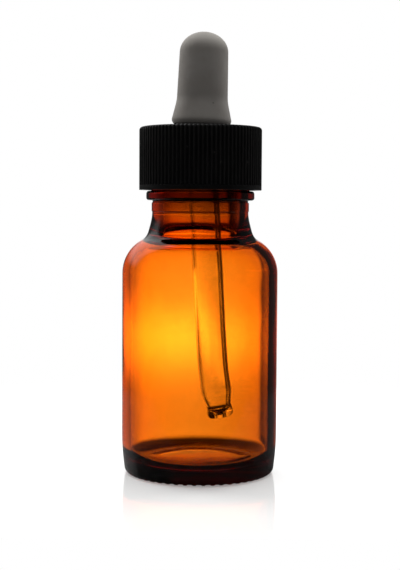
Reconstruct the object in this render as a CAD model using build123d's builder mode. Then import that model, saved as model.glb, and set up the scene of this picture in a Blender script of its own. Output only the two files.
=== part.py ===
from build123d import *
from math import cos, radians, sin, tan
import os

# Dropper bottle: an amber glass bottle, a screw cap, a rubber bulb, a glass pipette and a washer.
# Millimetres. The origin is the centre of the ring that the bottle stands on, and +Z is up.
# +X is the side that the pipette's tip and the bulb lean towards.

# Bottle body
body_radius = 17.25
body_wall = 1.8
heel_inset = 1.95
standing_ring_width = 1.9
heel_radius = 1.4
heel_turn = 83
heel_top = 9.0
push_up = 1.6
floor_glass = 3.0
floor_crown = 1.1
inner_heel_radius = 3.4
knurl_count = 50
knurl_radius = 0.8
knurl_depth = 0.45
knurl_setback = 0.45

# Bottle shoulder and neck
shoulder_start = 44.5
shoulder_radius = 8.5
shoulder_turn = 55
neck_sweep_length = 1.8
neck_sweep_in = 0.75
neck_sweep_up = 1.6
inner_shoulder_turn = 86
neck_rise = 6.6
neck_band_height = 2.0
neck_band_step = 0.13
neck_groove_height = 0.5
neck_groove_depth = 0.3
bead_depth = 1.2
bead_height = 2.1
bead_fillet = 0.6

# Bottle finish: a standard 24 mm finish with one continuous thread
finish_radius = 10.8
finish_height = 10.25
neck_wall = 2.4
thread_depth = 1.15
thread_pitch = 3.175
thread_turns = 1.25
thread_crest_width = 0.9
thread_flank = 30
thread_rim_distance = 2.3
thread_root_sink = 0.15
rim_fillet = 0.5

# Washer
washer_thickness = 1.0
washer_inset = 0.6
washer_hole_clearance = 1.2

# Screw cap
cap_thread_clearance = 0.25
cap_thread_flank_clearance = 0.3
cap_skirt_wall = 1.35
cap_deck = 1.6
cap_bead_gap = 0.2
cap_mouth_clearance = 0.5
cap_mouth_depth = 1.0
cap_thread_turns = 1.5
cap_edge_fillet = 0.7
cap_band_height = 1.1
rib_count = 90
rib_groove_radius = 0.3
rib_groove_sink = 0.02

# Rubber bulb
bulb_lean = 1.8
flange_thickness = 1.2
bulb_neck_wall = 1.65
bulb_neck_clearance = 0.3
bulb_wall = 1.3
foot_clearance = 0.35
foot_overhang = 1.53
foot_edge_height = 1.1
foot_edge_inset = 0.6
foot_cone_height = 3.2
foot_cone_angle = 13.0
foot_blend_radius = 9.5
bulb_side_height = 9.4
bulb_top_radius = 5.35
dome_height = 4.5

# Pipette
pipette_radius = 3.4
pipette_wall = 0.6
pipette_fit = 0.05
pipette_lean = 3.4
pipette_offset = -0.15
pipette_insertion = 3.8
pipette_floor_distance = 8.3
seat_overcut = 1.0
cavity_gap = 0.35
bend_radius = 76.0
bend_turn = 6.6
tip_taper = 3.6
tip_neck_radius = 2.72
tip_bead_radius = 2.95
tip_bead_height = 2.3
tip_end_radius = 2.3
orifice_radius = 0.9

# How near an edge has to be to its size or height to be taken for it
edge_tolerance = 0.0001

# Heights that follow from the sizes above
shoulder_end = shoulder_start + shoulder_radius * sin(radians(shoulder_turn))
neck_start = shoulder_end + neck_rise
band_top = neck_start + neck_band_height
bead_bottom = band_top + neck_groove_height
bead_top = bead_bottom + bead_height
rim = bead_top + finish_height
washer_top = rim + washer_thickness
deck_bottom = washer_top + flange_thickness
deck_top = deck_bottom + cap_deck
skirt_bottom = bead_top + cap_bead_gap

# Radii that follow from the sizes above
standing_ring_outer = body_radius - heel_inset
inner_radius = body_radius - body_wall
inner_shoulder_radius = shoulder_radius - body_wall
bore_radius = finish_radius - neck_wall
bead_radius = finish_radius + bead_depth
thread_radius = finish_radius + thread_depth
washer_radius = finish_radius - washer_inset
washer_hole_radius = pipette_radius + washer_hole_clearance
cap_root_radius = thread_radius + cap_thread_clearance
cap_radius = cap_root_radius + cap_skirt_wall
bulb_neck_radius = pipette_radius + bulb_neck_wall
foot_radius = bulb_neck_radius + foot_overhang
deck_hole_radius = bulb_neck_radius + bulb_neck_clearance
pipette_bore = pipette_radius - pipette_wall
tip_bore = tip_neck_radius - pipette_wall


def along(start, angle, length):
    """The point at a length from start, at an angle above the first axis."""
    return start + Vector(length * cos(radians(angle)), length * sin(radians(angle)))


def dome_line(radius, base, height):
    """Draws a quarter of an oval, from a radius at the base up to the axis."""
    shoulder_point = (radius * cos(radians(45)), base + height * sin(radians(45)))
    Spline((radius, base), shoulder_point, (0, base + height), tangents=((0, 1), (-1, 0)))


def thread_ridge(root_radius, crest_radius, crest_width, turns, start_height):
    """A right-hand helical ridge from its root to its crest, with equal slanted flanks."""
    depth = crest_radius - root_radius
    root_width = crest_width + 2 * abs(depth) * tan(radians(thread_flank))
    with BuildPart() as ridge:
        with BuildLine() as path:
            Helix(thread_pitch, thread_pitch * turns, root_radius, center=(0, 0, start_height))
        tangent = path.line % 0
        with BuildSketch(Plane(path.line @ 0, x_dir=(1, 0, 0), z_dir=tangent)):
            with BuildLine():
                Polyline(
                    (0, -root_width / 2),
                    (depth, -crest_width / 2),
                    (depth, crest_width / 2),
                    (0, root_width / 2),
                    close=True,
                )
            make_face()
        sweep(path=path.line, is_frenet=True)
    return ridge.part


# The bottle's thread starts below the rim and winds down, and its root is sunk into the neck.
thread_bottom = rim - thread_rim_distance - thread_turns * thread_pitch
bottle_ridge = thread_ridge(
    finish_radius - thread_root_sink,
    thread_radius,
    thread_crest_width,
    thread_turns,
    thread_bottom,
)

with BuildPart() as bottle:
    # Outside: standing ring, heel, body, shoulder, neck, bead and finish
    with BuildSketch(Plane.XZ):
        with BuildLine():
            ring_inner = standing_ring_outer - standing_ring_width
            Line((0, rim), (0, push_up))
            TangentArc((0, push_up), (ring_inner, 0), tangent=(1, 0))
            Line((ring_inner, 0), (standing_ring_outer, 0))
            heel = JernArc((standing_ring_outer, 0), (1, 0), heel_radius, heel_turn)
            TangentArc((body_radius, heel_top), heel @ 1, tangent=(0, -1))
            Line((body_radius, heel_top), (body_radius, shoulder_start))
            shoulder = JernArc(
                (body_radius, shoulder_start), (0, 1), shoulder_radius, shoulder_turn
            )
            lower_neck = along(shoulder @ 1, 90 + shoulder_turn, neck_sweep_length)
            upper_neck = lower_neck + Vector(-neck_sweep_in, neck_sweep_up)
            Spline(
                shoulder @ 1,
                lower_neck,
                upper_neck,
                (finish_radius - neck_band_step, neck_start),
                tangents=(shoulder % 1, (0, 1)),
            )
            Polyline(
                (finish_radius - neck_band_step, neck_start),
                (finish_radius, neck_start + neck_band_step),
                (finish_radius, band_top),
                (finish_radius - neck_groove_depth, band_top + neck_groove_height / 2),
                (finish_radius, bead_bottom),
                (bead_radius, bead_bottom),
                (bead_radius, bead_top),
                (finish_radius, bead_top),
                (finish_radius, rim),
                (0, rim),
            )
        make_face()
    revolve(axis=Axis.Z)
    bead_edges = bottle.edges().filter_by(GeomType.CIRCLE).filter_by(
        lambda edge: abs(edge.radius - bead_radius) < edge_tolerance
    )
    fillet(bead_edges, bead_fillet)
    add(bottle_ridge)
    # Inside: floor, body, shoulder and bore
    with BuildSketch(Plane.XZ):
        with BuildLine():
            floor_edge = inner_radius - inner_heel_radius
            Line((0, rim), (0, floor_glass + floor_crown))
            TangentArc((0, floor_glass + floor_crown), (floor_edge, floor_glass), tangent=(1, 0))
            inner_heel = JernArc((floor_edge, floor_glass), (1, 0), inner_heel_radius, 90)
            Line(inner_heel @ 1, (inner_radius, shoulder_start))
            inner_shoulder = JernArc(
                (inner_radius, shoulder_start),
                (0, 1),
                inner_shoulder_radius,
                inner_shoulder_turn,
            )
            bore_inset = (inner_shoulder @ 1).X - bore_radius
            bore_entry = JernArc(
                inner_shoulder @ 1,
                inner_shoulder % 1,
                bore_inset / (1 - cos(radians(inner_shoulder_turn))),
                -inner_shoulder_turn,
            )
            Line(bore_entry @ 1, (bore_radius, rim))
            Line((bore_radius, rim), (0, rim))
        make_face()
    revolve(axis=Axis.Z, mode=Mode.SUBTRACT)
    rim_edges = bottle.edges().filter_by(GeomType.CIRCLE).filter_by_position(
        Axis.Z, rim - edge_tolerance, rim + edge_tolerance
    )
    fillet(rim_edges, rim_fillet)
    # Scallops around the outer edge of the standing ring leave narrow teeth between them
    with Locations((0, 0, knurl_depth - knurl_radius)):
        with PolarLocations(standing_ring_outer + knurl_setback, knurl_count):
            Sphere(knurl_radius, mode=Mode.SUBTRACT)

with BuildPart() as sealing_washer:
    with BuildSketch(Plane.XY.offset(rim)):
        Circle(washer_radius)
        Circle(washer_hole_radius, mode=Mode.SUBTRACT)
    extrude(amount=washer_thickness)

# The cap's ridge runs in the groove of the bottle's thread, half a pitch below it.
ridge_spread = 2 * (thread_depth - cap_thread_clearance) * tan(radians(thread_flank))
groove_width = thread_pitch - thread_crest_width - ridge_spread
cap_ridge = thread_ridge(
    cap_root_radius + thread_root_sink,
    cap_root_radius - thread_depth,
    groove_width - 2 * cap_thread_flank_clearance,
    cap_thread_turns,
    thread_bottom - thread_pitch / 2,
)

with BuildPart() as screw_cap:
    with BuildSketch(Plane.XY.offset(skirt_bottom)):
        Circle(cap_radius)
    extrude(amount=deck_top - skirt_bottom)
    fillet(screw_cap.faces().sort_by(Axis.Z)[-1].edges(), cap_edge_fillet)
    with BuildSketch(Plane.XY.offset(skirt_bottom)):
        Circle(cap_root_radius)
    extrude(amount=deck_bottom - skirt_bottom, mode=Mode.SUBTRACT)
    with BuildSketch(Plane.XY.offset(skirt_bottom)):
        Circle(bead_radius + cap_mouth_clearance)
    extrude(amount=cap_mouth_depth, mode=Mode.SUBTRACT)
    with BuildSketch(Plane.XY.offset(deck_bottom)):
        Circle(deck_hole_radius)
    extrude(amount=cap_deck, mode=Mode.SUBTRACT)
    add(cap_ridge)
    # Grooves between the ribs stop above the smooth band
    with BuildSketch(Plane.XY.offset(skirt_bottom + cap_band_height)):
        with PolarLocations(cap_radius + rib_groove_sink, rib_count):
            Circle(rib_groove_radius)
    extrude(amount=deck_top - skirt_bottom - cap_band_height, mode=Mode.SUBTRACT)

# The bulb's outside leans about the middle of its flange, and its foot stays off the deck.
lean_plane = Plane(
    (0, 0, rim),
    x_dir=(cos(radians(bulb_lean)), 0, -sin(radians(bulb_lean))),
    z_dir=(0, -1, 0),
)
lean_axis = Axis((0, 0, rim), (sin(radians(bulb_lean)), 0, cos(radians(bulb_lean))))
foot_bottom = deck_top + foot_clearance + foot_radius * sin(radians(bulb_lean)) - rim
foot_edge_top = foot_bottom + foot_edge_height
cone_top = foot_edge_top + foot_cone_height
cone_top_radius = foot_radius - foot_cone_height * tan(radians(foot_cone_angle))

# The pipette hangs from the bulb's neck with a lean of its own, and bends near its lower end.
# Its straight run is as long as it takes to hold the tip at its distance from the floor.
pipette_top = deck_top + pipette_insertion
cavity_start = pipette_top + cavity_gap - rim
tip_lean = pipette_lean + bend_turn
tip_end = tip_taper + tip_bead_height
bend_drop = bend_radius * (sin(radians(tip_lean)) - sin(radians(pipette_lean)))
tip_drop = tip_end * cos(radians(tip_lean))
floor_top = floor_glass + floor_crown
run_drop = pipette_top - floor_top - pipette_floor_distance - bend_drop - tip_drop
pipette_run = run_drop / cos(radians(pipette_lean))
hang_x = pipette_offset - pipette_insertion * tan(radians(pipette_lean))
hang_direction = (sin(radians(pipette_lean)), 0, -cos(radians(pipette_lean)))
hang_plane = Plane((hang_x, 0, pipette_top), x_dir=(0, 1, 0), z_dir=hang_direction)

with BuildPart() as rubber_bulb:
    # Flange under the deck and neck through the deck's hole
    with BuildSketch(Plane.XY.offset(washer_top)):
        Circle(washer_radius)
    extrude(amount=flange_thickness)
    with BuildSketch(Plane.XY.offset(washer_top)):
        Circle(bulb_neck_radius)
    extrude(amount=rim + foot_edge_top - washer_top)
    # Leaning outside: foot, cone, side and dome
    with BuildSketch(lean_plane):
        with BuildLine():
            Line((0, cone_top), (0, foot_bottom))
            Line((0, foot_bottom), (foot_radius - foot_edge_inset, foot_bottom))
            TangentArc(
                (foot_radius, foot_edge_top),
                (foot_radius - foot_edge_inset, foot_bottom),
                tangent=(0, -1),
            )
            Line((foot_radius, foot_edge_top), (cone_top_radius, cone_top))
            blend = JernArc(
                (cone_top_radius, cone_top),
                (-sin(radians(foot_cone_angle)), cos(radians(foot_cone_angle))),
                foot_blend_radius,
                -foot_cone_angle,
            )
            side_top = (blend @ 1).Y + bulb_side_height
            Line(blend @ 1, (bulb_top_radius, side_top))
            dome_line(bulb_top_radius, side_top, dome_height)
            Line((0, side_top + dome_height), (0, cone_top))
        make_face()
    revolve(axis=lean_axis)
    # Cavity that the fingers squeeze
    with BuildSketch(lean_plane):
        with BuildLine():
            cavity_radius = bulb_top_radius - bulb_wall
            Line((0, side_top), (0, cavity_start))
            Line((0, cavity_start), (cavity_radius, cavity_start))
            Line((cavity_radius, cavity_start), (cavity_radius, side_top))
            dome_line(cavity_radius, side_top, dome_height - bulb_wall)
            Line((0, side_top + dome_height - bulb_wall), (0, side_top))
        make_face()
    revolve(axis=lean_axis, mode=Mode.SUBTRACT)
    # Seat of the pipette
    with BuildSketch(hang_plane.offset(-seat_overcut)):
        Circle(pipette_radius + pipette_fit)
    extrude(amount=pipette_top - washer_top + 2 * seat_overcut, mode=Mode.SUBTRACT)

with BuildLine(Plane.XZ) as pipette_line:
    tube_run = PolarLine((hang_x, pipette_top), pipette_run, pipette_lean - 90)
    tube_bend = JernArc(tube_run @ 1, tube_run % 1, bend_radius, bend_turn)
tip_direction = tube_bend % 1
tip_plane = Plane(tube_bend @ 1, x_dir=(0, 1, 0), z_dir=(tip_direction.Z, 0, -tip_direction.X))
tip_axis = Axis(tube_bend @ 1, tip_direction)

with BuildPart() as glass_pipette:
    with BuildSketch(hang_plane):
        Circle(pipette_radius)
        Circle(pipette_bore, mode=Mode.SUBTRACT)
    sweep(path=pipette_line.line)
    # Necked tip with a fire-polished bead around the orifice
    with BuildSketch(tip_plane):
        with BuildLine():
            bead_start = (tip_neck_radius, tip_taper)
            bead_middle = (tip_bead_radius, tip_taper + tip_bead_height / 2)
            Line((pipette_bore, 0), (pipette_radius, 0))
            Spline((pipette_radius, 0), bead_start, tangents=((0, 1), (0, 1)))
            ThreePointArc(bead_start, bead_middle, (tip_end_radius, tip_end))
            Line((tip_end_radius, tip_end), (orifice_radius, tip_end))
            orifice_start = tip_taper + tip_bore - orifice_radius
            Line((orifice_radius, tip_end), (orifice_radius, orifice_start))
            TangentArc((tip_bore, tip_taper), (orifice_radius, orifice_start), tangent=(0, 1))
            Spline((tip_bore, tip_taper), (pipette_bore, 0), tangents=((0, -1), (0, -1)))
        make_face()
    revolve(axis=tip_axis)

pieces = {
    "bottle": bottle,
    "sealing_washer": sealing_washer,
    "screw_cap": screw_cap,
    "rubber_bulb": rubber_bulb,
    "glass_pipette": glass_pipette,
}
os.makedirs("parts", exist_ok=True)
for name, piece in pieces.items():
    piece.part.label = name
    export_step(piece.part, f"parts/{name}.step")
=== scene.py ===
import math

import bpy
from mathutils import Matrix, Vector


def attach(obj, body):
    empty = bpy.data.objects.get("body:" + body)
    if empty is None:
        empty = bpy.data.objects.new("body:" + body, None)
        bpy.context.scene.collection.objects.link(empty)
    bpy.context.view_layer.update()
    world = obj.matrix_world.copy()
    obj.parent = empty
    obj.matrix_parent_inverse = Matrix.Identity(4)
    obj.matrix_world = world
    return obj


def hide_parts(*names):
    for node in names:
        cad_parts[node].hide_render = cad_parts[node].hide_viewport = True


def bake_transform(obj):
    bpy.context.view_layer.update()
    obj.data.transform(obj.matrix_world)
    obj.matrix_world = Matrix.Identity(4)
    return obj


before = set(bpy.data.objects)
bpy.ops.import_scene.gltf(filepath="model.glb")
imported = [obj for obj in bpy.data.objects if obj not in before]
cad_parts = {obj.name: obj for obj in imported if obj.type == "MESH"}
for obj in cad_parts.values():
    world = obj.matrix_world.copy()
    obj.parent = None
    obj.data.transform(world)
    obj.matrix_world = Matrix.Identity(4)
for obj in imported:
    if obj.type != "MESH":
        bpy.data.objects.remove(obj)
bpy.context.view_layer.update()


# Camera and view
# A long lens a little above the middle of the bottle, looking slightly down, with the small roll
# that leaves the right side of the table lower than the left.
camera_place = (0.00003, -0.2778, 0.0594)
camera_pitch = 3.62
camera_roll = 0.32
camera_lens = 78.95
lens = bpy.data.cameras.new("long_lens")
lens.lens = camera_lens
lens.sensor_width = 36
camera = bpy.data.objects.new("camera", lens)
camera.matrix_world = (
    Matrix.Translation(camera_place)
    @ Matrix.Rotation(math.radians(90 - camera_pitch), 4, "X")
    @ Matrix.Rotation(math.radians(camera_roll), 4, "Z")
)
scene = bpy.context.scene
scene.collection.objects.link(camera)
scene.camera = camera
scene.view_settings.view_transform = "Standard"
scene.cycles.max_bounces = 20
scene.cycles.transmission_bounces = 20
scene.cycles.transparent_max_bounces = 16


# Studio around the bottle
# A broad white light stands behind the glass, with a dark board at its right and a bright strip
# low down at its left and middle. The front of the room is dim, so a black cap stays black.
def feed(tree, socket, value):
    """Links a socket to another node's output, or sets it to a plain value."""
    if isinstance(value, bpy.types.NodeSocket):
        tree.links.new(value, socket)
    else:
        socket.default_value = value


def add_node(tree, kind, inputs=(), **settings):
    """Adds a node with its settings, and feeds its inputs by place or by name."""
    made = tree.nodes.new(kind)
    for name, value in settings.items():
        setattr(made, name, value)
    for key, value in dict(inputs).items():
        feed(tree, made.inputs[key], value)
    return made


def calc(tree, operation, *values, clamp=False):
    """One step of arithmetic on numbers or sockets."""
    made = add_node(
        tree, "ShaderNodeMath", enumerate(values), operation=operation, use_clamp=clamp
    )
    return made.outputs[0]


def ease(tree, value, start, end, low=0.0, high=1.0):
    """Goes smoothly from low at start to high at end, and stays level outside."""
    made = add_node(
        tree,
        "ShaderNodeMapRange",
        {0: value, 1: start, 2: end, 3: low, 4: high},
        interpolation_type="SMOOTHSTEP",
    )
    return made.outputs[0]


def mix_values(tree, share, first, second):
    """Goes from the first number to the second as share goes from 0 to 1."""
    made = add_node(tree, "ShaderNodeMix", {0: share, 2: first, 3: second}, data_type="FLOAT")
    return made.outputs[0]


def mix_colours(tree, share, first, second):
    """Goes from the first colour to the second as share goes from 0 to 1."""
    made = add_node(tree, "ShaderNodeMix", {0: share, 6: first, 7: second}, data_type="RGBA")
    return made.outputs[2]


def bump_at(tree, value, centre, spread):
    """A bell curve of height 1 around centre."""
    away = calc(tree, "DIVIDE", calc(tree, "SUBTRACT", value, centre), spread)
    return calc(tree, "EXPONENT", calc(tree, "MULTIPLY", calc(tree, "MULTIPLY", away, away), -0.5))


room = bpy.data.worlds.new("white_studio")
scene.world = room
room.use_nodes = True
sky = room.node_tree
sky.nodes.clear()
place = add_node(sky, "ShaderNodeTexCoord")
way = add_node(sky, "ShaderNodeSeparateXYZ", {0: place.outputs["Generated"]})
degree = 180 / math.pi
turn = calc(sky, "MULTIPLY", calc(sky, "ARCTAN2", way.outputs[0], way.outputs[1]), degree)
rise = calc(sky, "MULTIPLY", calc(sky, "ARCSINE", way.outputs[2]), degree)

# What shows through the glass
left_side = ease(sky, turn, -52, -20, 0.5, 1.5)
left_middle = ease(sky, turn, -20, -9, 0.0, 0.65)
right_middle = ease(sky, turn, -9, 6, 0.0, -0.55)
panel = calc(sky, "ADD", calc(sky, "ADD", left_side, left_middle), right_middle)
board_start = ease(sky, turn, 11.0, 15.5, 1.0, 0.012)
board_end = ease(sky, turn, 46, 58, 0.0, 0.6)
panel = calc(sky, "ADD", calc(sky, "MULTIPLY", panel, board_start), board_end)
patch = calc(
    sky,
    "MULTIPLY",
    calc(
        sky,
        "MULTIPLY",
        bump_at(sky, rise, -6.0, 1.1),
        ease(sky, turn, -2.0, 1.0, 4.0, 2.8),
    ),
    calc(sky, "MULTIPLY", ease(sky, turn, 4, 8, 1.0, 0.65), board_start),
)
upper = ease(sky, rise, -5.5, -3.0, 1.0, 1.25)
lower = ease(sky, rise, -26, -14, 0.05, 1.0)
behind = ease(sky, way.outputs[1], -0.3, 0.1, 0.04, 1.0)
through = calc(sky, "MULTIPLY", calc(sky, "MULTIPLY", panel, upper), lower)
through = calc(sky, "MULTIPLY", calc(sky, "ADD", through, patch), behind)

# What the glossy surfaces mirror
backdrop = ease(sky, calc(sky, "ABSOLUTE", turn), 8, 14, 1.0, 0.05)
high_left = calc(
    sky,
    "MULTIPLY",
    calc(sky, "MULTIPLY", ease(sky, turn, -75, -60, 0.0, 0.8), ease(sky, turn, -12, 2, 1.0, 0.0)),
    calc(sky, "MULTIPLY", ease(sky, rise, 6, 20), ease(sky, rise, 62, 75, 1.0, 0.0)),
)
mirrored = calc(sky, "ADD", backdrop, high_left)
mirrored = calc(sky, "MULTIPLY", mirrored, ease(sky, way.outputs[1], -0.15, 0.3, 0.03, 1.0))
ray = add_node(sky, "ShaderNodeLightPath")
ambient = 0.26
strength = mix_values(sky, ray.outputs["Is Glossy Ray"], ambient, mirrored)
strength = mix_values(sky, ray.outputs["Is Transmission Ray"], strength, through)
strength = mix_values(sky, ray.outputs["Is Camera Ray"], strength, 1.0)
background = add_node(
    sky, "ShaderNodeBackground", {"Color": (1.0, 1.0, 1.0, 1.0), "Strength": strength}
)
add_node(sky, "ShaderNodeOutputWorld", {"Surface": background.outputs[0]})

# Soft lamps: name, place, what they aim at, width, height, watts
lamps = [
    ("overhead_softbox", (0.0, 0.12, 0.62), (0.0, 0.0, 0.05), 0.55, 0.45, 3.2),
    ("left_rear_softbox", (-0.5, 0.34, 0.3), (0.0, 0.0, 0.07), 0.3, 0.5, 2.4),
    ("right_rear_softbox", (0.5, 0.34, 0.3), (0.0, 0.0, 0.07), 0.3, 0.5, 1.8),
]
for name, lamp_place, aim, width, height, watts in lamps:
    light = bpy.data.lights.new(name, "AREA")
    light.shape = "RECTANGLE"
    light.size = width
    light.size_y = height
    light.energy = watts
    lamp = bpy.data.objects.new(name, light)
    lamp.location = lamp_place
    lamp.rotation_euler = (Vector(aim) - Vector(lamp_place)).to_track_quat("-Z", "Y").to_euler()
    lamp.visible_camera = False
    lamp.visible_transmission = False
    lamp.visible_glossy = False
    scene.collection.objects.link(lamp)


# Table
# A sheet of white gloss laminate that the bottle stands on. It mirrors the foot of the bottle,
# and fades out into the white room before its edge shows.
table_radius = 0.15
table_fade_start = 0.11
table_lift = 0.25
table_roughness = 0.05
bare_start = -0.049
bare_end = -0.058
foot_reach = 0.0168


def plain_mesh(name, points, faces):
    """A mesh object at the origin, from points in metres and lists of their numbers."""
    mesh = bpy.data.meshes.new(name)
    mesh.from_pydata(points, [], faces)
    made = bpy.data.objects.new(name, mesh)
    scene.collection.objects.link(made)
    return made


def start_material(name):
    """An empty material with its output, ready for a shader."""
    material = bpy.data.materials.new(name)
    material.use_nodes = True
    material.node_tree.nodes.clear()
    finish = add_node(material.node_tree, "ShaderNodeOutputMaterial")
    return material, material.node_tree, finish


table_edge = [
    (
        table_radius * math.cos(step * math.tau / 96),
        table_radius * math.sin(step * math.tau / 96),
        0.0,
    )
    for step in range(96)
]
table = plain_mesh("table_top", table_edge, [list(range(96))])
laminate, tree, finish = start_material("white_gloss_laminate")
place = add_node(tree, "ShaderNodeTexCoord").outputs["Object"]
mottle = add_node(tree, "ShaderNodeTexNoise", {"Vector": place, "Scale": 60.0, "Detail": 3.0})
tone = mix_colours(tree, mottle.outputs[0], (0.86, 0.87, 0.86, 1.0), (0.9, 0.9, 0.89, 1.0))
ray = add_node(tree, "ShaderNodeLightPath")
# Painted shade: glossy rays see the table as dark grey, so the glass mirrors it dim.
painted_dark_reflection_tone = mix_colours(tree, ray.outputs["Is Glossy Ray"], tone, (0.1, 0.1, 0.1, 1.0))
gloss = add_node(
    tree,
    "ShaderNodeBsdfPrincipled",
    {"Base Color": painted_dark_reflection_tone, "Roughness": table_roughness, "IOR": 1.55},
)
spot = add_node(tree, "ShaderNodeSeparateXYZ", {0: place}).outputs
distance = add_node(tree, "ShaderNodeVectorMath", {0: place}, operation="LENGTH")
distance = distance.outputs["Value"]
bare = add_node(tree, "ShaderNodeEmission", {"Strength": ray.outputs["Is Camera Ray"]})
lift = add_node(
    tree,
    "ShaderNodeEmission",
    {"Strength": calc(tree, "MULTIPLY", ray.outputs["Is Camera Ray"], table_lift)},
)
lifted = add_node(tree, "ShaderNodeAddShader", {0: gloss.outputs[0], 1: lift.outputs[0]})
front = ease(tree, spot[1], bare_end, bare_start)
lit = add_node(
    tree, "ShaderNodeMixShader", {0: front, 1: bare.outputs[0], 2: lifted.outputs[0]}
)
shown = ease(tree, distance, table_fade_start, table_radius, 1.0, 0.0)
under = calc(tree, "LESS_THAN", distance, foot_reach)
clear_way = calc(
    tree, "MULTIPLY", ray.outputs["Is Transmission Ray"], calc(tree, "SUBTRACT", 1.0, under)
)
solid = calc(tree, "SUBTRACT", 1.0, clear_way)
gap = add_node(tree, "ShaderNodeBsdfTransparent")
surface = add_node(
    tree,
    "ShaderNodeMixShader",
    {0: calc(tree, "MULTIPLY", shown, solid), 1: gap.outputs[0], 2: lit.outputs[0]},
)
feed(tree, finish.inputs["Surface"], surface.outputs[0])
table.data.materials.append(laminate)


# Bottle
# Blown and moulded amber glass in one piece: a knurled standing ring, a round body and shoulder, a
# neck with a transfer bead, and a finish with one raised thread. Wall 1.8 mm, base 3 mm.
millimetre = 0.001
glass_turn_steps = 350
body_radius = 17.25
body_wall = 1.8
heel_radius = 54.15
shoulder_start = 44.5
shoulder_radius = 8.5
neck_start = 58.063
neck_radius = 10.8
bead_bottom = 60.563
bead_top = 62.663
bead_radius = 12.0
rim_height = 72.913
bore_radius = 8.4
floor_radius = 66.546
punt_radius = 56.912
thread_pitch = 3.175
thread_start = 66.641
thread_turns = 1.25
threads_outside = 10.7
threads_above = 62.9


def arc(across, up, radius, start, end, steps):
    """Points on a circle about (across, up), from one angle to another in degrees."""
    angles = [math.radians(start + (end - start) * step / steps) for step in range(steps + 1)]
    return [(across + radius * math.cos(a), up + radius * math.sin(a)) for a in angles]


def flowing(points, first_way, last_way, steps):
    """A smooth line through points, with its first and last directions given."""
    ways = [Vector(first_way).normalized()]
    for before, after in zip(points, points[2:]):
        ways.append((Vector(after) - Vector(before)).normalized())
    ways.append(Vector(last_way).normalized())
    line = [tuple(points[0])]
    for number in range(len(points) - 1):
        a = Vector(points[number])
        b = Vector(points[number + 1])
        reach = (b - a).length
        for step in range(1, steps + 1):
            t = step / steps
            spot = (
                a * (2 * t**3 - 3 * t**2 + 1)
                + ways[number] * reach * (t**3 - 2 * t**2 + t)
                + b * (3 * t**2 - 2 * t**3)
                + ways[number + 1] * reach * (t**3 - t**2)
            )
            line.append(tuple(spot))
    return line


def rounded(corners, steps=4):
    """A line through (across, up, radius) corners, each rounded to its radius."""
    line = []
    for number, (across, up, radius) in enumerate(corners):
        corner = Vector((across, up))
        if radius == 0 or number in (0, len(corners) - 1):
            line.append((across, up))
            continue
        back = (Vector(corners[number - 1][:2]) - corner).normalized()
        ahead = (Vector(corners[number + 1][:2]) - corner).normalized()
        half = back.angle(ahead) / 2
        centre = corner + (back + ahead).normalized() * radius / math.sin(half)
        first = corner + back * radius / math.tan(half) - centre
        last = corner + ahead * radius / math.tan(half) - centre
        sweep = first.angle_signed(last)
        for step in range(steps + 1):
            spot = centre + Matrix.Rotation(-sweep * step / steps, 2) @ first
            line.append(tuple(spot))
    return line


def dense(points, longest):
    """The same line, with points added so that none are further apart than longest."""
    line = [tuple(points[0])]
    for start, end in zip(points, points[1:]):
        reach = math.dist(start, end)
        if reach < 1e-6:
            continue
        parts = max(1, math.ceil(reach / longest - 1e-6))
        for step in range(1, parts + 1):
            share = step / parts
            line.append(tuple(a + (b - a) * share for a, b in zip(start, end)))
    return line


def start_form(name, numbers):
    """A geometry tree with a named input for each size, and the outputs of its first node."""
    tree = bpy.data.node_groups.new(name, "GeometryNodeTree")
    tree.is_modifier = True
    tree.interface.new_socket("Geometry", in_out="OUTPUT", socket_type="NodeSocketGeometry")
    tree.interface.new_socket("Geometry", in_out="INPUT", socket_type="NodeSocketGeometry")
    for label, kind in numbers.items():
        tree.interface.new_socket(label, in_out="INPUT", socket_type="NodeSocket" + kind)
    tree.interface.new_socket("Material", in_out="INPUT", socket_type="NodeSocketMaterial")
    entry = tree.nodes.new("NodeGroupInput")
    return tree, entry.outputs


def end_form(tree, geometry, material):
    """Ends a geometry tree with real geometry that carries its material."""
    real = add_node(tree, "GeometryNodeRealizeInstances", {0: geometry})
    dressed = add_node(
        tree, "GeometryNodeSetMaterial", {"Geometry": real.outputs[0], "Material": material}
    )
    last = tree.nodes.new("NodeGroupOutput")
    feed(tree, last.inputs[0], dressed.outputs[0])


def grow(piece, tree, values):
    """Runs a geometry tree on a piece and keeps the result as its plain mesh."""
    modifier = piece.modifiers.new(tree.name, "NODES")
    modifier.node_group = tree
    for item in tree.interface.items_tree:
        if item.in_out == "INPUT" and item.name in values:
            modifier[item.identifier] = values[item.name]
    evaluated = piece.evaluated_get(bpy.context.evaluated_depsgraph_get())
    mesh = bpy.data.meshes.new_from_object(evaluated)
    piece.modifiers.remove(modifier)
    piece.data = mesh
    mesh.name = piece.name


turned, size = start_form(
    "turned_form",
    {
        "Turn Steps": "Int",
        "Flute Count": "Int",
        "Flute Width": "Float",
        "Flute Roundness": "Float",
        "Flute Inward": "Float",
        "Flute Upward": "Float",
        "Thread Depth": "Float",
        "Thread Root Width": "Float",
        "Thread Crest Width": "Float",
        "Thread Pitch": "Float",
        "Thread Start": "Float",
        "Thread Turns": "Float",
        "Thread Fade": "Float",
    },
)
rows = add_node(turned, "GeometryNodeAttributeDomainSize", {0: size["Geometry"]}).outputs[0]
grid = add_node(
    turned,
    "GeometryNodeMeshGrid",
    {
        "Size X": 1.0,
        "Size Y": 1.0,
        "Vertices X": calc(turned, "ADD", size["Turn Steps"], 1.0),
        "Vertices Y": rows,
    },
)
spot = add_node(
    turned,
    "ShaderNodeSeparateXYZ",
    {0: add_node(turned, "GeometryNodeInputPosition").outputs[0]},
)
around = calc(turned, "ADD", spot.outputs[0], 0.5)
along = calc(turned, "ADD", spot.outputs[1], 0.5)
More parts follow.
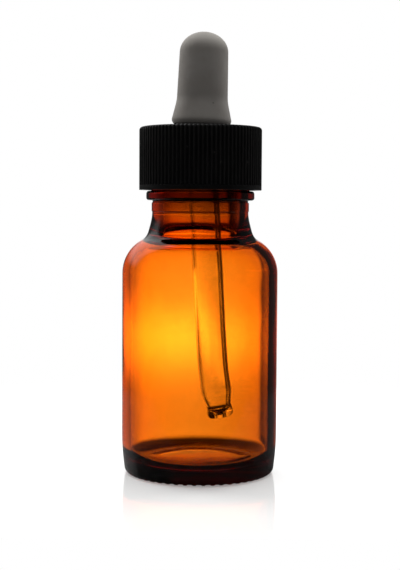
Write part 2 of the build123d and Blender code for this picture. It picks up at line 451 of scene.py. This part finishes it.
row = calc(turned, "ROUND", calc(turned, "MULTIPLY", along, calc(turned, "SUBTRACT", rows, 1.0)))


def read_row(kind, value):
    """Reads a value of the outline's own point at this row."""
    read = add_node(turned, "GeometryNodeSampleIndex", data_type=kind, domain="POINT")
    feed(turned, read.inputs["Geometry"], size["Geometry"])
    feed(turned, read.inputs["Value"], value)
    feed(turned, read.inputs["Index"], row)
    return read.outputs[0]


def read_mark(name):
    """Reads a mark from 0 to 1 that the outline's points carry by name."""
    mark = add_node(
        turned, "GeometryNodeInputNamedAttribute", {"Name": name}, data_type="FLOAT"
    )
    return read_row("FLOAT", mark.outputs[0])


outline = add_node(
    turned,
    "ShaderNodeSeparateXYZ",
    {0: read_row("FLOAT_VECTOR", add_node(turned, "GeometryNodeInputPosition").outputs[0])},
)
radius, height = outline.outputs[0], outline.outputs[2]

# Flutes: round hollows all the way round, where the outline is marked as fluted
fluted = read_mark("fluted")
share = calc(turned, "FRACT", calc(turned, "MULTIPLY", around, size["Flute Count"]))
off_centre = calc(turned, "ABSOLUTE", calc(turned, "SUBTRACT", share, 0.5))
off_centre = calc(turned, "DIVIDE", off_centre, calc(turned, "MULTIPLY", size["Flute Width"], 0.5))
hollow = calc(turned, "SUBTRACT", 1.0, calc(turned, "MULTIPLY", off_centre, off_centre))
hollow = calc(turned, "POWER", calc(turned, "MAXIMUM", hollow, 0.0), size["Flute Roundness"])
hollow = calc(turned, "MULTIPLY", hollow, fluted)
radius = calc(
    turned, "SUBTRACT", radius, calc(turned, "MULTIPLY", hollow, size["Flute Inward"])
)

# Thread: a ridge that climbs with the turn, where the outline is marked as threaded
climb = calc(turned, "SUBTRACT", height, size["Thread Start"])
climb = calc(turned, "DIVIDE", climb, size["Thread Pitch"])
lap = calc(turned, "ROUND", calc(turned, "SUBTRACT", climb, around))
travel = calc(turned, "ADD", lap, around)
off_ridge = calc(turned, "MULTIPLY", calc(turned, "SUBTRACT", climb, travel), size["Thread Pitch"])
ridge = ease(
    turned,
    calc(turned, "ABSOLUTE", off_ridge),
    calc(turned, "MULTIPLY", size["Thread Root Width"], 0.5),
    calc(turned, "MULTIPLY", size["Thread Crest Width"], 0.5),
)
left = calc(turned, "SUBTRACT", size["Thread Turns"], travel)
ridge = calc(turned, "MULTIPLY", ridge, ease(turned, travel, 0.0, size["Thread Fade"]))
ridge = calc(turned, "MULTIPLY", ridge, ease(turned, left, 0.0, size["Thread Fade"]))
ridge = calc(turned, "MULTIPLY", ridge, read_mark("threaded"))
radius = calc(turned, "ADD", radius, calc(turned, "MULTIPLY", ridge, size["Thread Depth"]))
height = calc(turned, "ADD", height, calc(turned, "MULTIPLY", hollow, size["Flute Upward"]))
angle = calc(turned, "MULTIPLY", around, math.tau)
wrapped = add_node(
    turned,
    "ShaderNodeCombineXYZ",
    {
        0: calc(turned, "MULTIPLY", radius, calc(turned, "COSINE", angle)),
        1: calc(turned, "MULTIPLY", radius, calc(turned, "SINE", angle)),
        2: height,
    },
)
moved = add_node(
    turned,
    "GeometryNodeSetPosition",
    {"Geometry": grid.outputs["Mesh"], "Position": wrapped.outputs[0]},
)
closed = add_node(
    turned, "GeometryNodeMergeByDistance", {"Geometry": moved.outputs[0], "Distance": 1e-6}
)
end_form(turned, closed.outputs[0], size["Material"])


def turned_piece(name, line, values, fluted=None, threaded=None):
    """A piece turned from its outline in millimetres."""
    points = [(across * millimetre, 0.0, up * millimetre) for across, up in line]
    mesh = bpy.data.meshes.new(name)
    mesh.from_pydata(points, [(n, n + 1) for n in range(len(points) - 1)], [])
    for label, test in (("fluted", fluted), ("threaded", threaded)):
        mark = mesh.attributes.new(label, "FLOAT", "POINT")
        mark.data.foreach_set("value", [float(test(*spot)) if test else 0.0 for spot in line])
    piece = bpy.data.objects.new(name, mesh)
    scene.collection.objects.link(piece)
    settings = {
        "Turn Steps": 256,
        "Flute Count": 1,
        "Flute Width": 1.0,
        "Flute Roundness": 1.0,
        "Flute Inward": 0.0,
        "Flute Upward": 0.0,
        "Thread Depth": 0.0,
        "Thread Root Width": 0.002,
        "Thread Crest Width": 0.001,
        "Thread Pitch": 0.003,
        "Thread Start": 0.0,
        "Thread Turns": 1.0,
        "Thread Fade": 0.05,
    }
    settings.update(values)
    grow(piece, turned, settings)
    return piece


def smooth(piece, crease):
    """Smooth shading, with edges sharper than crease degrees left crisp."""
    piece.data.shade_smooth()
    piece.data.set_sharp_from_angle(angle=math.radians(crease))


glass_outside = (
    arc(0, 1.6 - punt_radius, punt_radius, 90, 90 - 13.618, 8)
    + rounded([(13.4, 0.0, 0), (15.3, 0.0, 0)])
    + arc(15.3, 1.4, 1.4, -90, -7, 14)
    + arc(body_radius - heel_radius, 9.0, heel_radius, -8.1, 0, 6)
    + [(body_radius, shoulder_start)]
    + arc(body_radius - shoulder_radius, shoulder_start, shoulder_radius, 0, 55, 14)
    + flowing(
        [(13.6254, 51.4628), (12.151, 52.4952), (11.401, 54.0952), (10.67, neck_start)],
        (-0.819, 0.574),
        (0, 1),
        6,
    )
    + rounded(
        [
            (10.67, neck_start, 0),
            (neck_radius, 58.2, 0.1),
            (neck_radius, 60.06, 0.12),
            (10.5, 60.31, 0.15),
            (neck_radius, bead_bottom, 0.05),
            (bead_radius, bead_bottom, 0.6),
            (bead_radius, bead_top, 0.6),
            (neck_radius, bead_top, 0.3),
            (neck_radius, rim_height, 0.5),
            (bore_radius, rim_height, 0.5),
            (bore_radius, 70.0, 0),
        ]
    )
)
glass_inside = (
    [(bore_radius, 56.5)]
    + arc(bore_radius + 0.879, 52.06, 0.879, 180, 266, 10)
    + arc(
        body_radius - shoulder_radius,
        shoulder_start,
        shoulder_radius - body_wall,
        86,
        0,
        20,
    )
    + arc(12.05, 6.4, 3.4, 0, -90, 12)
    + arc(0, 4.1 - floor_radius, floor_radius, 90 - 10.431, 90, 8)
)
glass_section = glass_outside + glass_inside
glass_line = []
for start, end in zip(glass_section, glass_section[1:]):
    threaded_wall = (
        min(start[0], end[0]) > threads_outside and min(start[1], end[1]) > threads_above
    )
    glass_line += dense([start, end], 0.14 if threaded_wall else 4.0)[:-1]
glass_line.append(glass_section[-1])

amber, tree, finish = start_material("amber_glass")
place = add_node(tree, "ShaderNodeTexCoord").outputs["Object"]
stretch = add_node(
    tree, "ShaderNodeMapping", {"Vector": place, "Scale": (1.0, 1.0, 0.35)}
).outputs[0]
wave = add_node(
    tree, "ShaderNodeTexNoise", {"Vector": stretch, "Scale": 95.0, "Detail": 2.0}
)
fine_wave = add_node(
    tree, "ShaderNodeTexNoise", {"Vector": stretch, "Scale": 420.0, "Detail": 2.0}
)
relief = calc(
    tree, "ADD", wave.outputs[0], calc(tree, "MULTIPLY", fine_wave.outputs[0], 0.03)
)
bump = add_node(
    tree,
    "ShaderNodeBump",
    {"Strength": 0.2, "Distance": 0.0006, "Height": relief},
)
haze = add_node(tree, "ShaderNodeTexNoise", {"Vector": place, "Scale": 260.0, "Detail": 5.0})
haze_mask = ease(tree, haze.outputs[0], 0.52, 0.75)
tint = mix_colours(tree, haze_mask, (1.0, 1.0, 1.0, 1.0), (0.96, 0.95, 0.93, 1.0))
up = add_node(tree, "ShaderNodeSeparateXYZ", {0: place}).outputs[2]
# Painted shade: the glass colour darkens towards black up the neck to the bead, standing in for the
# shade of the black cap above it.
painted_cap_shade = ease(tree, up, 0.0622, 0.053, 0.7, 0.0)
tint = mix_colours(tree, painted_cap_shade, tint, (0.0, 0.0, 0.0, 1.0))
glass = add_node(
    tree,
    "ShaderNodeBsdfPrincipled",
    {
        "Base Color": tint,
        "Roughness": mix_values(tree, haze_mask, 0.0, 0.015),
        "IOR": 1.5,
        "Transmission Weight": 1.0,
        "Normal": bump.outputs[0],
    },
)
feed(tree, finish.inputs["Surface"], glass.outputs[0])
dye = add_node(
    tree,
    "ShaderNodeVolumeAbsorption",
    {"Color": (0.892, 0.615, 0.0, 1.0), "Density": 1534.0},
)
feed(tree, finish.inputs["Volume"], dye.outputs[0])

bottle = turned_piece(
    "amber_bottle",
    glass_line,
    {
        "Turn Steps": glass_turn_steps,
        "Flute Count": 50,
        "Flute Width": 0.69,
        "Flute Roundness": 0.7,
        "Flute Upward": 0.38 * millimetre,
        "Thread Depth": 1.15 * millimetre,
        "Thread Root Width": 2.5 * millimetre,
        "Thread Crest Width": 0.7 * millimetre,
        "Thread Pitch": thread_pitch * millimetre,
        "Thread Start": thread_start * millimetre,
        "Thread Turns": thread_turns,
        "Thread Fade": 0.04,
        "Material": amber,
    },
    fluted=lambda across, up: up < 1.0 and max(0.0, 1 - ((across - 15.6) / 0.62) ** 2),
    threaded=lambda across, up: across > threads_outside and up > threads_above,
)
smooth(bottle, 50)
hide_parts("bottle")
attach(bottle, "bottle")


# Washer
# A flat ring of pale elastomer, punched from sheet. It lies on the rim of the bottle, and the
# closure presses the bulb's flange down on it.
washer_top = rim_height + 1.0
washer_radius = 10.2
washer_hole = 4.6


def grain_group():
    """The fine grain of a moulded surface: a height for relief and a tone for its colour."""
    group = bpy.data.node_groups.new("moulded_grain", "ShaderNodeTree")
    for label, kind in (("Place", "Vector"), ("Scale", "Float"), ("Detail", "Float")):
        group.interface.new_socket(label, in_out="INPUT", socket_type="NodeSocket" + kind)
    for label in ("Height", "Tone"):
        group.interface.new_socket(label, in_out="OUTPUT", socket_type="NodeSocketFloat")
    entry = group.nodes.new("NodeGroupInput").outputs
    fine = add_node(
        group,
        "ShaderNodeTexNoise",
        {"Vector": entry["Place"], "Scale": entry["Scale"], "Detail": entry["Detail"]},
    )
    broad = add_node(
        group,
        "ShaderNodeTexNoise",
        {
            "Vector": entry["Place"],
            "Scale": calc(group, "MULTIPLY", entry["Scale"], 0.06),
            "Detail": 3.0,
        },
    )
    last = group.nodes.new("NodeGroupOutput")
    feed(group, last.inputs["Height"], fine.outputs[0])
    feed(group, last.inputs["Tone"], ease(group, broad.outputs[0], 0.35, 0.68))
    return group


def dust_group():
    """Scattered specks, from a cell pattern that only the middles of a few cells pass."""
    group = bpy.data.node_groups.new("dust_specks", "ShaderNodeTree")
    for label, kind in (("Place", "Vector"), ("Scale", "Float"), ("Size", "Float")):
        group.interface.new_socket(label, in_out="INPUT", socket_type="NodeSocket" + kind)
    group.interface.new_socket("Amount", in_out="INPUT", socket_type="NodeSocketFloat")
    group.interface.new_socket("Mask", in_out="OUTPUT", socket_type="NodeSocketFloat")
    entry = group.nodes.new("NodeGroupInput").outputs
    cells = add_node(
        group, "ShaderNodeTexVoronoi", {"Vector": entry["Place"], "Scale": entry["Scale"]}
    )
    near = ease(group, cells.outputs["Distance"], entry["Size"], 0.0)
    pick = add_node(group, "ShaderNodeSeparateColor", {0: cells.outputs["Color"]})
    chosen = calc(group, "LESS_THAN", pick.outputs[0], entry["Amount"])
    last = group.nodes.new("NodeGroupOutput")
    feed(group, last.inputs["Mask"], calc(group, "MULTIPLY", near, chosen))
    return group


grain = grain_group()
dust = dust_group()


def place_group(tree, group, **values):
    """Places a shared group in a material with its own values."""
    made = add_node(tree, "ShaderNodeGroup", node_tree=group)
    for label, value in values.items():
        feed(tree, made.inputs[label], value)
    return made.outputs


pale_rubber, tree, finish = start_material("washer_elastomer")
place = add_node(tree, "ShaderNodeTexCoord").outputs["Object"]
skin = place_group(tree, grain, Place=place, Scale=3200.0, Detail=4.0)
specks = place_group(tree, dust, Place=place, Scale=900.0, Size=0.25, Amount=0.12)
colour = mix_colours(tree, skin["Tone"], (0.56, 0.55, 0.52, 1.0), (0.63, 0.62, 0.59, 1.0))
colour = mix_colours(tree, specks["Mask"], colour, (0.3, 0.29, 0.27, 1.0))
relief = add_node(
    tree, "ShaderNodeBump", {"Strength": 0.3, "Distance": 0.00004, "Height": skin["Height"]}
)
soft = add_node(
    tree,
    "ShaderNodeBsdfPrincipled",
    {
        "Base Color": colour,
        "Roughness": mix_values(tree, skin["Tone"], 0.62, 0.74),
        "Normal": relief.outputs[0],
    },
)
feed(tree, finish.inputs["Surface"], soft.outputs[0])

washer = turned_piece(
    "seal_washer",
    dense(
        rounded(
            [
                (7.0, rim_height, 0),
                (washer_radius, rim_height, 0.12),
                (washer_radius, washer_top, 0.12),
                (washer_hole, washer_top, 0.08),
                (washer_hole, rim_height, 0.08),
                (7.0, rim_height, 0),
            ],
            3,
        ),
        0.5,
    ),
    {"Turn Steps": 144, "Material": pale_rubber},
)
smooth(washer, 50)
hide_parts("sealing_washer")
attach(washer, "washer")


# Pipette
# A drawn clear glass tube, 6.8 mm across. Its top is pushed into the bulb's neck, it hangs with a
# lean, bends a little near its lower end, and its tip is drawn in and fire-polished to a bead.
pipette_top = (-0.3758, 80.513)
pipette_lean = 3.4
bend_turn = 6.6
bend_radius = 76.0
tip_taper = 3.6
tip_bead = 2.3
tube_radius = 3.4
tube_bore = 2.8
orifice_radius = 0.9
bend_drop = bend_radius * (
    math.sin(math.radians(pipette_lean + bend_turn)) - math.sin(math.radians(pipette_lean))
)
tip_drop = (tip_taper + tip_bead) * math.cos(math.radians(pipette_lean + bend_turn))
tip_height = 12.4
straight_run = (pipette_top[1] - tip_height - bend_drop - tip_drop) / math.cos(
    math.radians(pipette_lean)
)
tube_length = straight_run + bend_radius * math.radians(bend_turn)

bent, size = start_form(
    "bent_tube",
    {
        "Top Across": "Float",
        "Top Height": "Float",
        "Lean": "Float",
        "Straight Run": "Float",
        "Bend Radius": "Float",
        "Bend Turn": "Float",
    },
)
spot = add_node(
    bent,
    "ShaderNodeSeparateXYZ",
    {0: add_node(bent, "GeometryNodeInputPosition").outputs[0]},
).outputs
down = calc(bent, "MULTIPLY", spot[2], -1.0)
past = calc(bent, "SUBTRACT", down, size["Straight Run"])
bent_by = calc(bent, "DIVIDE", past, size["Bend Radius"])
bent_by = calc(bent, "MINIMUM", calc(bent, "MAXIMUM", bent_by, 0.0), size["Bend Turn"])
lean_here = calc(bent, "ADD", size["Lean"], bent_by)
bend_length = calc(bent, "MULTIPLY", size["Bend Radius"], size["Bend Turn"])
after = calc(bent, "MAXIMUM", calc(bent, "SUBTRACT", past, bend_length), 0.0)
before = calc(bent, "MINIMUM", down, size["Straight Run"])
cosine = calc(bent, "COSINE", size["Lean"])
sine = calc(bent, "SINE", size["Lean"])
cosine_here = calc(bent, "COSINE", lean_here)
sine_here = calc(bent, "SINE", lean_here)


def total(tree, *values):
    """Adds up any number of sockets."""
    result = values[0]
    for value in values[1:]:
        result = calc(tree, "ADD", result, value)
    return result


across = total(
    bent,
    size["Top Across"],
    calc(bent, "MULTIPLY", sine, before),
    calc(bent, "MULTIPLY", size["Bend Radius"], calc(bent, "SUBTRACT", cosine, cosine_here)),
    calc(bent, "MULTIPLY", sine_here, after),
    calc(bent, "MULTIPLY", cosine_here, spot[0]),
)
fall = total(
    bent,
    calc(bent, "MULTIPLY", cosine, before),
    calc(bent, "MULTIPLY", size["Bend Radius"], calc(bent, "SUBTRACT", sine_here, sine)),
    calc(bent, "MULTIPLY", cosine_here, after),
    calc(bent, "MULTIPLY", calc(bent, "MULTIPLY", sine_here, spot[0]), -1.0),
)
bent_place = add_node(
    bent,
    "ShaderNodeCombineXYZ",
    {0: across, 1: spot[1], 2: calc(bent, "SUBTRACT", size["Top Height"], fall)},
)
moved = add_node(
    bent,
    "GeometryNodeSetPosition",
    {"Geometry": size["Geometry"], "Position": bent_place.outputs[0]},
)
end_form(bent, moved.outputs[0], size["Material"])

clear, tree, finish = start_material("clear_glass")
place = add_node(tree, "ShaderNodeTexCoord").outputs["Object"]
stretch = add_node(
    tree, "ShaderNodeMapping", {"Vector": place, "Scale": (1.0, 1.0, 0.08)}
).outputs[0]
draw_lines = add_node(
    tree, "ShaderNodeTexNoise", {"Vector": stretch, "Scale": 700.0, "Detail": 3.0}
)
bump = add_node(
    tree,
    "ShaderNodeBump",
    {"Strength": 0.05, "Distance": 0.0002, "Height": draw_lines.outputs[0]},
)
haze = add_node(tree, "ShaderNodeTexNoise", {"Vector": place, "Scale": 500.0, "Detail": 4.0})
haze_mask = ease(tree, haze.outputs[0], 0.5, 0.8)
glass = add_node(
    tree,
    "ShaderNodeBsdfPrincipled",
    {
        "Base Color": mix_colours(
            tree, haze_mask, (0.98, 0.99, 0.98, 1.0), (0.9, 0.92, 0.9, 1.0)
        ),
        "Roughness": mix_values(tree, haze_mask, 0.0, 0.015),
        "IOR": 1.47,
        "Transmission Weight": 1.0,
        "Normal": bump.outputs[0],
    },
)
feed(tree, finish.inputs["Surface"], glass.outputs[0])

tip_end = tube_length + tip_taper + tip_bead
neck_end = tube_length + tip_taper
outside_line = (
    [(tube_bore, -0.0), (tube_radius - 0.2, 0.0), (tube_radius, 0.2)]
    + [(tube_radius, run) for run in (20.0, 40.0, straight_run)]
    + [
        (tube_radius, straight_run + bend_radius * math.radians(bend_turn) * step / 8)
        for step in range(1, 9)
    ]
    + [
        (3.37, tube_length + 0.5),
        (3.26, tube_length + 1.1),
        (3.1, tube_length + 1.8),
        (2.92, tube_length + 2.5),
        (2.77, neck_end - 0.4),
        (2.72, neck_end),
        (2.82, neck_end + 0.25),
        (2.92, neck_end + 0.65),
        (2.95, neck_end + 1.15),
        (2.91, neck_end + 1.55),
        (2.77, neck_end + 1.9),
        (2.52, neck_end + 2.15),
        (2.2, tip_end - 0.04),
        (1.9, tip_end),
        (1.35, tip_end),
        (1.02, tip_end - 0.12),
        (orifice_radius, tip_end - 0.35),
        (orifice_radius, neck_end + 1.5),
        (1.1, neck_end + 1.2),
        (1.55, neck_end + 0.95),
        (1.95, neck_end + 0.5),
        (2.12, neck_end),
        (2.18, neck_end - 0.5),
        (2.33, tube_length + 2.4),
        (2.51, tube_length + 1.7),
        (2.67, tube_length + 1.0),
        (2.77, tube_length + 0.4),
    ]
    + [
        (tube_bore, straight_run + bend_radius * math.radians(bend_turn) * step / 8)
        for step in range(7, -1, -1)
    ]
    + [(tube_bore, run) for run in (40.0, 20.0, 0.0)]
)
pipette = turned_piece(
    "clear_pipette",
    [(across, -run) for across, run in reversed(outside_line)],
    {"Turn Steps": 96, "Material": clear},
)
grow(
    pipette,
    bent,
    {
        "Top Across": pipette_top[0] * millimetre,
        "Top Height": pipette_top[1] * millimetre,
        "Lean": math.radians(pipette_lean),
        "Straight Run": straight_run * millimetre,
        "Bend Radius": bend_radius * millimetre,
        "Bend Turn": math.radians(bend_turn),
        "Material": clear,
    },
)
smooth(pipette, 50)
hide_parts("glass_pipette")
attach(pipette, "dropper")


# Rubber bulb
# One hollow moulding of warm grey rubber: a dome, a flared foot that sits just over the cap, a
# neck through the cap's hole and a flange below it. It leans a little to the right.
bulb_lean = 1.8
leaning, size = start_form(
    "leaning_form",
    {
        "Pivot Height": "Float",
        "Upright Below": "Float",
        "Leaning Above": "Float",
        "Lean": "Float",
    },
)
spot = add_node(
    leaning,
    "ShaderNodeSeparateXYZ",
    {0: add_node(leaning, "GeometryNodeInputPosition").outputs[0]},
).outputs
lean_here = calc(
    leaning,
    "MULTIPLY",
    size["Lean"],
    ease(leaning, spot[2], size["Upright Below"], size["Leaning Above"]),
)
over_pivot = calc(leaning, "SUBTRACT", spot[2], size["Pivot Height"])
cosine = calc(leaning, "COSINE", lean_here)
sine = calc(leaning, "SINE", lean_here)
leaned = add_node(
    leaning,
    "ShaderNodeCombineXYZ",
    {
        0: calc(
            leaning,
            "ADD",
            calc(leaning, "MULTIPLY", spot[0], cosine),
            calc(leaning, "MULTIPLY", over_pivot, sine),
        ),
        1: spot[1],
        2: calc(
            leaning,
            "ADD",
            size["Pivot Height"],
            calc(
                leaning,
                "SUBTRACT",
                calc(leaning, "MULTIPLY", over_pivot, cosine),
                calc(leaning, "MULTIPLY", spot[0], sine),
            ),
        ),
    },
)
moved = add_node(
    leaning,
    "GeometryNodeSetPosition",
    {"Geometry": size["Geometry"], "Position": leaned.outputs[0]},
)
end_form(leaning, moved.outputs[0], size["Material"])

rubber, tree, finish = start_material("grey_rubber")
place = add_node(tree, "ShaderNodeTexCoord").outputs["Object"]
skin = place_group(tree, grain, Place=place, Scale=2600.0, Detail=5.0)
bloom_and_light_mottle = place_group(tree, grain, Place=place, Scale=1500.0, Detail=2.0)
specks = place_group(tree, dust, Place=place, Scale=420.0, Size=0.16, Amount=0.1)
colour = mix_colours(tree, skin["Tone"], (0.25, 0.23, 0.21, 1.0), (0.29, 0.27, 0.25, 1.0))
up = add_node(tree, "ShaderNodeSeparateXYZ", {0: place}).outputs[2]
# Painted light: above 92.5 mm the top of the dome is painted paler in mottled patches, standing in
# for the overhead lamp. Below about 83 mm the rubber is also paler, by up to 0.45.
pale = calc(
    tree, "MAXIMUM", ease(tree, up, 0.0925, 0.0965), ease(tree, up, 0.0838, 0.0825, 0.0, 0.45)
)
colour = mix_colours(
    tree, calc(tree, "MULTIPLY", pale, bloom_and_light_mottle["Tone"]), colour, (0.36, 0.34, 0.31, 1.0)
)
colour = mix_colours(tree, specks["Mask"], colour, (0.06, 0.055, 0.05, 1.0))
relief = add_node(
    tree, "ShaderNodeBump", {"Strength": 0.25, "Distance": 0.00005, "Height": skin["Height"]}
)
matt = add_node(
    tree,
    "ShaderNodeBsdfPrincipled",
    {
        "Base Color": colour,
        "Roughness": mix_values(tree, bloom_and_light_mottle["Tone"], 0.6, 0.78),
        "Sheen Weight": 0.12,
        "Normal": relief.outputs[0],
    },
)
feed(tree, finish.inputs["Surface"], matt.outputs[0])

flange_bottom = washer_top
flange_top = 75.113
flange_radius = 10.2
stem_radius = 5.05
stem_bore = 3.45
foot_radius = 6.58
foot_bottom = 77.27
foot_edge = 78.37
cone_top = 81.57
cone_angle = math.radians(13.0)
cone_top_radius = foot_radius - 3.2 * math.tan(cone_angle)
blend_end = cone_top + 9.5 * math.sin(cone_angle)
blend_radius = cone_top_radius - 9.5 * (1 - math.cos(cone_angle))
side_top = blend_end + 9.4
dome_radius = 5.35
dome_height = 4.5
bulb_outside = (
    rounded(
        [
            (stem_bore, flange_bottom, 0),
            (flange_radius, flange_bottom, 0.15),
            (flange_radius, flange_top, 0.15),
            (stem_radius, flange_top, 0.2),
            (stem_radius, foot_bottom, 0.1),
            (5.98, foot_bottom, 0),
        ]
    )
    + flowing(
        [(5.98, foot_bottom), (6.46, foot_bottom + 0.5), (foot_radius, foot_edge)],
        (1, 0.1),
        (0, 1),
        5,
    )
    + [(foot_radius, foot_edge), (cone_top_radius, cone_top)]
    + flowing(
        [(cone_top_radius, cone_top), (blend_radius, blend_end)],
        (-math.sin(cone_angle), math.cos(cone_angle)),
        (0, 1),
        6,
    )
    + [(dome_radius, side_top)]
    + [
        (
            dome_radius * math.cos(math.radians(90 * step / 16)),
            side_top + dome_height * math.sin(math.radians(90 * step / 16)),
        )
        for step in range(1, 17)
    ]
)
cavity_radius = dome_radius - 1.3
bulb_inside = [
    (
        cavity_radius * math.sin(math.radians(90 * step / 12)),
        side_top + 3.2 * math.cos(math.radians(90 * step / 12)),
    )
    for step in range(13)
] + rounded(
    [
        (cavity_radius, side_top, 0),
        (cavity_radius, 80.86, 0.4),
        (stem_bore, 80.86, 0.2),
        (stem_bore, flange_bottom, 0),
    ]
)
bulb = turned_piece(
    "rubber_squeeze_bulb",
    dense(bulb_outside, 0.6)[:-1] + [(0.0, side_top + dome_height)] + dense(bulb_inside, 0.8),
    {"Turn Steps": 128, "Material": rubber},
)
grow(
    bulb,
    leaning,
    {
        "Pivot Height": rim_height * millimetre,
        "Upright Below": flange_top * millimetre,
        "Leaning Above": foot_bottom * millimetre,
        "Lean": math.radians(bulb_lean),
        "Material": rubber,
    },
)
smooth(bulb, 50)
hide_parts("rubber_bulb")
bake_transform(bulb)


# Screw cap
# Injection-moulded black plastic: ninety round grip grooves that end above a smooth lower band, a
# rounded top edge, a hole in the deck for the bulb's neck, and a thread inside the skirt.
cap_radius = 13.55
skirt_bottom = 62.863
deck_top = 76.713
deck_bottom = flange_top
deck_hole = 5.35
cap_root = 12.2
cap_line = rounded(
    [
        (12.8, skirt_bottom, 0),
        (cap_radius, skirt_bottom, 0.12),
        (cap_radius, deck_top, 0.7),
        (deck_hole, deck_top, 0.15),
        (deck_hole, deck_bottom, 0.1),
        (cap_root, deck_bottom, 0.25),
        (cap_root, skirt_bottom + 1.0, 0.1),
        (12.5, skirt_bottom + 1.0, 0.1),
        (12.5, skirt_bottom, 0.15),
        (12.8, skirt_bottom, 0),
    ]
)
skirt_line = []
for start, end in zip(cap_line, cap_line[1:]):
    inner_wall = max(start[0], end[0]) < cap_root + 0.05 and min(start[0], end[0]) > 12.0
    outer_wall = min(start[0], end[0]) > cap_radius - 0.01 and end[1] > start[1] + 5
    if outer_wall:
        steps = [start[1]]
        steps += [skirt_bottom + 0.6, skirt_bottom + 1.0, skirt_bottom + 1.12]
        steps += [skirt_bottom + 1.25, skirt_bottom + 1.45, 66.0, 69.0, 72.0]
        skirt_line += [(cap_radius, up) for up in steps]
    else:
        skirt_line += dense([start, end], 0.16 if inner_wall else 2.5)[:-1]
skirt_line.append(cap_line[-1])

black, tree, finish = start_material("black_plastic")
place = add_node(tree, "ShaderNodeTexCoord").outputs["Object"]
skin = place_group(tree, grain, Place=place, Scale=2400.0, Detail=4.0)
lint = place_group(tree, dust, Place=place, Scale=700.0, Size=0.2, Amount=0.05)
# Painted highlight: the sharp crests of the grip ribs and the cap's edges are painted a lighter
# grey.
corner = ease(tree, add_node(tree, "ShaderNodeNewGeometry").outputs["Pointiness"], 0.505, 0.56)
colour = mix_colours(tree, skin["Tone"], (0.004, 0.004, 0.0045, 1.0), (0.006, 0.006, 0.006, 1.0))
colour = mix_colours(tree, calc(tree, "MULTIPLY", corner, 0.5), colour, (0.03, 0.029, 0.028, 1.0))
colour = mix_colours(tree, calc(tree, "MULTIPLY", lint["Mask"], 0.4), colour, (0.12, 0.11, 0.1, 1.0))
relief = add_node(
    tree, "ShaderNodeBump", {"Strength": 0.2, "Distance": 0.00003, "Height": skin["Height"]}
)
moulded = add_node(
    tree,
    "ShaderNodeBsdfPrincipled",
    {
        "Base Color": colour,
        "Roughness": mix_values(tree, skin["Tone"], 0.36, 0.46),
        "IOR": 1.49,
        "Normal": relief.outputs[0],
    },
)
feed(tree, finish.inputs["Surface"], moulded.outputs[0])

cap = turned_piece(
    "ribbed_screw_cap",
    skirt_line,
    {
        "Turn Steps": 720,
        "Flute Count": 90,
        "Flute Width": 0.64,
        "Flute Roundness": 0.6,
        "Flute Inward": 0.28 * millimetre,
        "Thread Depth": -1.15 * millimetre,
        "Thread Root Width": 1.9 * millimetre,
        "Thread Crest Width": 0.5 * millimetre,
        "Thread Pitch": thread_pitch * millimetre,
        "Thread Start": (thread_start - thread_pitch / 2) * millimetre,
        "Thread Turns": 1.5,
        "Thread Fade": 0.05,
        "Material": black,
    },
    fluted=lambda across, up: across > 12.9 and up > skirt_bottom + 1.11,
    threaded=lambda across, up: 12.1 < across < 12.25 and skirt_bottom + 1.1 < up < 74.85,
)
smooth(cap, 40)
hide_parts("screw_cap")
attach(cap, "cap")
